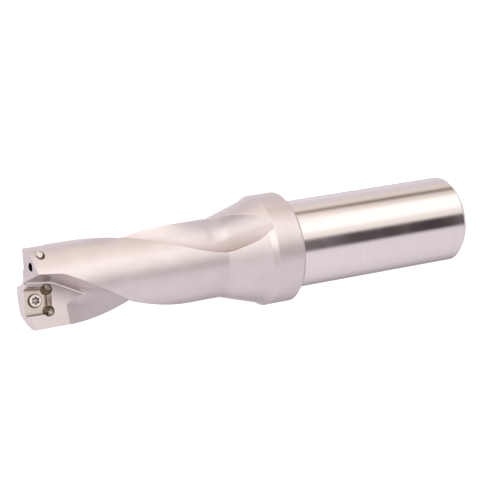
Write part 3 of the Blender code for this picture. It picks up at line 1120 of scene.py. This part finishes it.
@dataclass
class DrillBody:
    """The whole steel body: the blank with its flutes, gullets, seats, holes and flat."""

    finishes: Finishes
    blank: Blank = field(default_factory=Blank)
    inner_opening: float = radians(79.4)
    inner_fillet: float = 5.2 * MM
    outer_opening: float = radians(70)
    outer_fillet: float = 5 * MM
    outer_land: float = radians(104.8)
    inner_square_below_tip: float = 11 * MM
    inner_past_square: float = radians(2.2)
    outer_past_square: float = radians(12.9)
    inner_rake: float = 0.0
    outer_rake: float = 1.65 * MM
    inner_ridge: float = 1.9 * MM
    outer_ridge: float = -3.1 * MM
    seat_depth: float = 4 * MM
    inner_seat_out: float = -3.35 * MM
    outer_seat_out: float = 8.35 * MM
    inner_clear_wall: float = 3.98 * MM
    centre_relief: Point = (2.95 * MM, 3.25 * MM)
    clear_relief: Point = (-2.95 * MM, 3.65 * MM)

    def flutes(self, helix: Helix) -> tuple[ChipFlute, ChipFlute]:
        """Lay out the chip flutes.

        Args:
            helix: Their twist.

        Returns:
            The inner flute and the outer one.
        """
        square = self.blank.tip - self.inner_square_below_tip
        inner = -RIGHT_ANGLE - helix.turn(square)
        outer = inner + self.inner_opening + self.outer_land
        inner_straight = square + self.inner_past_square / helix.twist
        outer_turn = RIGHT_ANGLE + self.outer_past_square - outer
        outer_straight = helix.change + outer_turn / helix.twist
        inner_shape = (inner, inner_straight, self.inner_opening, self.inner_fillet)
        outer_shape = (outer, outer_straight, self.outer_opening, self.outer_fillet)
        return (
            ChipFlute("inner_flute", helix, *inner_shape),
            ChipFlute("outer_flute", helix, *outer_shape),
        )

    def seats(self) -> tuple[InsertSeat, InsertSeat]:
        """Lay out the insert seats.

        Returns:
            The inner seat and the outer one.
        """
        inner = (self.inner_seat_out, self.inner_rake - self.seat_depth, 1, self.inner_clear_wall)
        outer = (self.outer_seat_out, self.seat_depth - self.outer_rake, -1, FAR)
        return (
            InsertSeat("inner", self.blank, *inner, (self.centre_relief, self.clear_relief)),
            InsertSeat("outer", self.blank, *outer, (self.centre_relief,)),
        )

    def build(self) -> Object:
        """Cut the body out of its blank and make it a piece of the drill.

        Returns:
            The body's object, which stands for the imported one.
        """
        finishes = self.finishes
        helix = Helix(self.blank)
        flutes = self.flutes(helix)
        tree = FluteTree()
        tools = [flute.build(tree, finishes[Cut.PLATED]) for flute in flutes]
        for seat in self.seats():
            tools += seat.build(finishes)
        inner = Gullet("inner_gullet", self.blank, False, self.inner_rake, self.inner_ridge)
        outer = Gullet("outer_gullet", self.blank, True, self.outer_rake, self.outer_ridge)
        tools += [inner.build(finishes), outer.build(finishes)]
        ends = EndFaces(self.blank, inner, self.outer_rake, self.seat_depth)
        tools += ends.build(finishes[Cut.PLATED])
        heel = flutes[0].rake_angle + self.inner_opening
        coolant = Coolant(helix, heel, flutes[0].straight_from)
        tools.append(coolant.build(finishes[Cut.DRILLED]))
        tools.append(ClampFlat(self.blank).build(finishes[Cut.GROUND]))
        body = self.blank.build(finishes)
        for tool in tools:
            cut = body.modifiers.new(tool.name, "BOOLEAN")
            cut.operation = "DIFFERENCE"
            cut.solver = "EXACT"
            cut.material_mode = "TRANSFER"
            cut.object = tool
        mesh = shaded(plain_mesh(body, "fluted_body"))
        for tool in tools:
            bpy.data.objects.remove(tool, do_unlink=True)
        made = link_object("fluted_body", mesh)
        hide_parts("drill_body")
        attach(made, BODY)
        return made


@dataclass
class InsertScrews:
    """Countersunk insert screws with a six-lobed socket and a fine thread."""

    seats: tuple[InsertSeat, ...]
    finish: Material
    core_radius: float = 0.95 * MM
    reach: float = 5.05 * MM
    tip_lead: float = 0.28 * MM
    head_radius: float = 1.72 * MM
    head_above_seat: float = 1.2 * MM
    head_rim: float = 0.3 * MM
    head_chamfer: float = 0.15 * MM
    cone_angle: float = radians(55)
    pitch: float = 0.45 * MM
    thread_radius: float = 1.24 * MM
    tip_radius: float = 0.66 * MM
    rows_per_turn: int = 10
    socket_radius: float = 1.15 * MM
    socket_valley: float = 0.83 * MM
    socket_depth: float = 1.1 * MM
    socket_lip: float = 0.05 * MM
    lobes: int = 6
    steps: int = 60

    def ring(self, height: float, radius_at: Callable[[float], float]) -> list[Vector]:
        """List the points of a ring whose radius depends on the angle."""
        angles = [tau * i / self.steps for i in range(self.steps)]
        return [polar(radius_at(angle), angle, height) for angle in angles]

    def thread(self, height: float) -> Callable[[float], float]:
        """Give the shape of the threaded shank at a height.

        Args:
            height: Height above the seat's floor.

        Returns:
            The radius as a function of the angle round the shank.
        """
        groove = self.thread_radius - self.core_radius

        def radius(angle: float) -> float:
            """Radius at an angle."""
            phase = (height / self.pitch - angle / tau) % 1
            return self.thread_radius - groove * abs(2 * phase - 1)

        return radius

    def socket(self, widened: float) -> Callable[[float], float]:
        """Give the shape of the six-lobed socket.

        Args:
            widened: How much wider it is than its sizes say.

        Returns:
            The radius as a function of the angle round the socket.
        """
        middle = (self.socket_radius + self.socket_valley) / 2
        swing = (self.socket_radius - self.socket_valley) / 2
        return lambda angle: middle + widened + swing * cos(self.lobes * angle)

    def screw(self) -> Object:
        """Make one screw, with its axis along Z and the seat's floor at zero.

        Returns:
            The screw's object.
        """
        top = self.head_above_seat
        rim = top - self.head_rim
        cone = (self.head_radius - self.core_radius) / tan(self.cone_angle / 2)
        thread_end = rim - cone - self.pitch / 2
        rings = [self.ring(-self.reach, lambda _: self.tip_radius)]
        start = self.tip_lead - self.reach
        rows = round((thread_end - start) / self.pitch * self.rows_per_turn)
        for i in range(rows + 1):
            height = start + (thread_end - start) * i / rows
            rings.append(self.ring(height, self.thread(height)))
        for radius, height in (
            (self.core_radius, rim - cone),
            (self.head_radius, rim),
            (self.head_radius, top - self.head_chamfer),
            (self.head_radius - self.head_chamfer, top),
        ):
            rings.append(self.ring(height, lambda _, r=radius: r))
        rings.append(self.ring(top, self.socket(self.socket_lip)))
        rings.append(self.ring(top - self.socket_lip, self.socket(0)))
        rings.append(self.ring(top - self.socket_depth, self.socket(-self.socket_lip)))
        bottom = top - self.socket_depth - self.socket_valley / 3
        rings.append(self.ring(bottom, lambda _: self.socket_valley / 4))
        return loft("insert_screw", rings)

    def tree(self) -> NodeTree:
        """Build the tree that sets a screw at each point, turned as the point says.

        Returns:
            The Geometry Nodes tree.
        """
        inputs = {"Screw": "Object", "Screw Size": "Float", "Finish": "Material"}
        tree = new_tree("insert_screws", inputs)
        given = add_node(tree, "NodeGroupInput").outputs
        screw = add_node(tree, "GeometryNodeObjectInfo", {"Object": given["Screw"]})
        turn = add_node(
            tree, "GeometryNodeInputNamedAttribute", {"Name": "turn"}, data_type="FLOAT_VECTOR"
        )
        instances = {
            "Points": given["Geometry"],
            "Instance": screw.outputs["Geometry"],
            "Rotation": add_node(tree, "FunctionNodeEulerToRotation", (turn,)),
            "Scale": add_node(tree, "ShaderNodeCombineXYZ", [given["Screw Size"]] * 3),
        }
        placed = add_node(tree, "GeometryNodeInstanceOnPoints", instances)
        end_tree(tree, placed, given["Finish"])
        return tree

    def build(self) -> Object:
        """Set a screw into each seat.

        Returns:
            The screws' object, which stands for both packed ones.
        """
        frames = [seat.frame() for seat in self.seats]
        mesh = bpy.data.meshes.new("screw_places")
        mesh.from_pydata([frame.translation for frame in frames], [], [])
        layer = mesh.attributes.new("turn", "FLOAT_VECTOR", "POINT")
        layer.data.foreach_set("vector", [x for frame in frames for x in frame.to_euler("XYZ")])
        places = link_object("screw_places", mesh)
        screw = self.screw()
        values = {"Screw": screw, "Screw Size": 1.0, "Finish": self.finish}
        made = run_tree(places, self.tree(), values, "insert_screws")
        shaded(made.data)
        bpy.data.objects.remove(screw, do_unlink=True)
        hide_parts("inner_insert_screw", "outer_insert_screw")
        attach(made, BODY)
        return made


@dataclass(frozen=True)
class Panel:
    """Soft studio panel or flag, seen only in reflections, given by where it stands in degrees."""

    name: str
    azimuth: float
    half_width: float
    elevation: float
    half_height: float
    colour: str
    strength: float
    softness: float
    rise: float = 20.0

    def mask(self, tree: NodeTree, azimuth: Node, elevation: Node) -> Node:
        """Add the nodes that are one inside the panel and zero outside it.

        Args:
            tree: The world's tree.
            azimuth: Node with the direction's azimuth.
            elevation: Node with the direction's elevation.

        Returns:
            The node with the mask.
        """
        across = (azimuth, radians(self.azimuth))
        around = (add_node(tree, MATH, across, operation="SUBTRACT"), pi, -pi)
        wrapped = add_node(tree, MATH, around, operation="WRAP")
        height = (elevation, radians(self.elevation))
        up = add_node(tree, MATH, height, operation="SUBTRACT")
        sides = []
        for offset, half, soft in (
            (wrapped, self.half_width, self.softness),
            (up, self.half_height, self.rise),
        ):
            away = add_node(tree, MATH, (offset,), operation="ABSOLUTE")
            ends = [radians(half - soft / 2), radians(half + soft / 2)]
            levels = (away, *ends, 1.0, 0.0)
            sides.append(add_node(tree, MAP_RANGE, levels, interpolation_type="SMOOTHSTEP"))
        return add_node(tree, MATH, sides, operation="MULTIPLY")


@dataclass(frozen=True)
class Studio:
    """White sweep and soft light all round, with a few panels and flags."""

    fill: str = "E4DFE5"
    fill_strength: float = 0.9
    floor_glow: float = 0.62
    floor_albedo: str = "F4F4F4"
    sweep_radius: float = 1.6
    wall_radius: float = 0.8
    wall_height: float = 2.5
    bends: int = 12
    facets: int = 96
    low_elevation: float = radians(-60)
    level_elevation: float = radians(-24)
    low_strength: float = 0.7
    panels: tuple[Panel, ...] = (
        Panel("back_light", 172, 30, 0, 80, "E6E2EA", 1.12, 60),
        Panel("back_low", 190, 34, -34, 9, "E6E2EA", 0.74, 16, 6),
        Panel("side_light", -60, 36, -10, 70, "E3DEE6", 1.02, 40),
        Panel("under_shade", -140, 16, -30, 60, "E2DCE4", 0.64, 30),
        Panel("under_line", -150, 4, -35, 18, "C8C0C8", 0.42, 14),
        Panel("end_wall", 180, 70, 34, 15, "E8E2EA", 0.92, 20, 10),
        Panel("warm_side", 86, 24, -10, 70, "E6DEDA", 0.98, 24),
        Panel("key_spread", 33, 34, -5, 70, "FFFBF8", 0.93, 20),
        Panel("key", 42, 19, -14, 52, "FFFDFC", 1.28, 18),
        Panel("gullet_glow", 7, 13, -13, 6, "FFFBF8", 1.5, 12, 6),
        Panel("scoop_flag", -26, 14, 48, 14, "D4C6C4", 0.66, 18, 14),
        Panel("key_top", 27, 26, 45, 8, "FFFFFF", 1.72, 16, 8),
        Panel("scoop_glint", 10, 9, 24, 6, "FFFFFF", 1.75, 14, 10),
        Panel("key_shoulder", 68, 25, 8, 35, "F4EAE6", 1.15, 24, 6),
        Panel("edge_flag", 84, 6, -31, 5.4, "B4A698", 0.54, 12, 1.2),
        Panel("camera_flag", -11, 16, -31, 5.4, "7C6E72", 0.16, 12, 1.0),
    )

    def world(self) -> bpy.types.World:
        """Build the light: a pale fill with panels at their directions.

        Returns:
            The scene's world.
        """
        world = bpy.data.worlds.new("studio")
        world.use_nodes = True
        tree = world.node_tree
        tree.nodes.clear()
        toward = add_node(tree, "ShaderNodeTexCoord").outputs["Generated"]
        axes = add_node(tree, "ShaderNodeSeparateXYZ", (toward,)).outputs
        azimuth = add_node(tree, MATH, (axes["Y"], axes["X"]), operation="ARCTAN2")
        elevation = add_node(tree, MATH, (axes["Z"],), operation="ARCSINE")
        light: object = linear(self.fill, self.fill_strength)
        for panel in self.panels:
            colours = {
                SHARE: panel.mask(tree, azimuth, elevation),
                FIRST: light,
                SECOND: linear(panel.colour, panel.strength),
            }
            light = add_node(tree, MIX, colours, data_type="RGBA", label=panel.name).outputs[MIXED]
        levels = (elevation, self.low_elevation, self.level_elevation, self.low_strength, 1.0)
        level = add_node(tree, MAP_RANGE, levels)
        sky = add_node(tree, "ShaderNodeBackground", {"Color": light, "Strength": level})
        add_node(tree, "ShaderNodeOutputWorld", {"Surface": sky})
        bpy.context.scene.world = world
        return world

    def floor(self) -> Object:
        """Build the plain white sweep that the drill stands on.

        Returns:
            The floor, which curves up into a round wall.
        """
        inner = self.sweep_radius - self.wall_radius
        profile = [(0.0, 0.0), (inner, 0.0)]
        for i in range(1, self.bends + 1):
            angle = RIGHT_ANGLE * i / self.bends
            height = self.wall_radius * (1 - cos(angle))
            profile.append((inner + self.wall_radius * sin(angle), height))
        profile += [(self.sweep_radius, self.wall_height), (0.0, self.wall_height)]
        sweep = turned("studio_sweep", profile, self.facets)
        paint = bpy.data.materials.new("white_sweep")
        paint.use_nodes = True
        tree = paint.node_tree
        tree.nodes.clear()
        albedo = add_node(tree, "ShaderNodeBsdfDiffuse", {"Color": linear(self.floor_albedo)})
        glow = add_node(tree, "ShaderNodeEmission", {"Strength": self.floor_glow})
        both = add_node(tree, "ShaderNodeAddShader", (albedo, glow))
        add_node(tree, "ShaderNodeOutputMaterial", {"Surface": both})
        sweep.data.materials.append(paint)
        sweep.visible_glossy = False
        sweep.visible_diffuse = False
        sweep.visible_shadow = False
        sweep.visible_transmission = False
        return sweep


@dataclass(frozen=True)
class PhotoCamera:
    """Camera at the photograph's viewing angle, rolled so that the drill lies across it."""

    elevation: float = radians(24.945)
    roll: float = radians(99.738)
    distance: float = 462.3 * MM
    target_height: float = 70 * MM
    focal_pixels: float = 1632.98
    centre: Point = (237.19, 253.58)
    image: int = 500
    sensor: float = 36.0
    nearest: float = 10 * MM

    def build(self) -> Object:
        """Make the camera.

        Returns:
            The camera's object.
        """
        data = bpy.data.cameras.new("photo_camera")
        camera = bpy.data.objects.new("photo_camera", data)
        bpy.context.scene.collection.objects.link(camera)
        back = Vector((cos(self.elevation), 0, sin(self.elevation)))
        across = Vector((0, 1, 0))
        up = across.cross(-back)
        right = cos(self.roll) * across - sin(self.roll) * up
        top = sin(self.roll) * across + cos(self.roll) * up
        turn = Matrix((right, top, back)).transposed().to_4x4()
        place = Vector((0, 0, self.target_height)) + self.distance * back
        camera.matrix_world = Matrix.Translation(place) @ turn
        data.sensor_width = self.sensor
        data.lens = self.focal_pixels / self.image * self.sensor
        data.shift_x = (self.image / 2 - self.centre[0]) / self.image
        data.shift_y = (self.centre[1] - self.image / 2) / self.image
        data.clip_start = self.nearest
        bpy.context.scene.camera = camera
        return camera


def corners(bounds: Iterable[Vector]) -> list[list[float]]:
    """Turn a box's two corners into plain lists."""
    return [[float(x) for x in corner] for corner in bounds]


def main() -> None:
    """Build the drill, its light and its camera."""
    logging.basicConfig(level=logging.INFO, format="%(message)s")
    scene = bpy.context.scene
    scene.view_settings.view_transform = "Standard"
    finishes = make_finishes()
    body = DrillBody(finishes)
    for piece in (body, InsertScrews(body.seats(), finishes[Cut.SCREW])):
        made = piece.build()
        log.info("%s: %d faces", made.name, len(made.data.polygons))
    studio = Studio()
    studio.world()
    studio.floor()
    PhotoCamera().build()


if __name__ == "__main__":
    main()
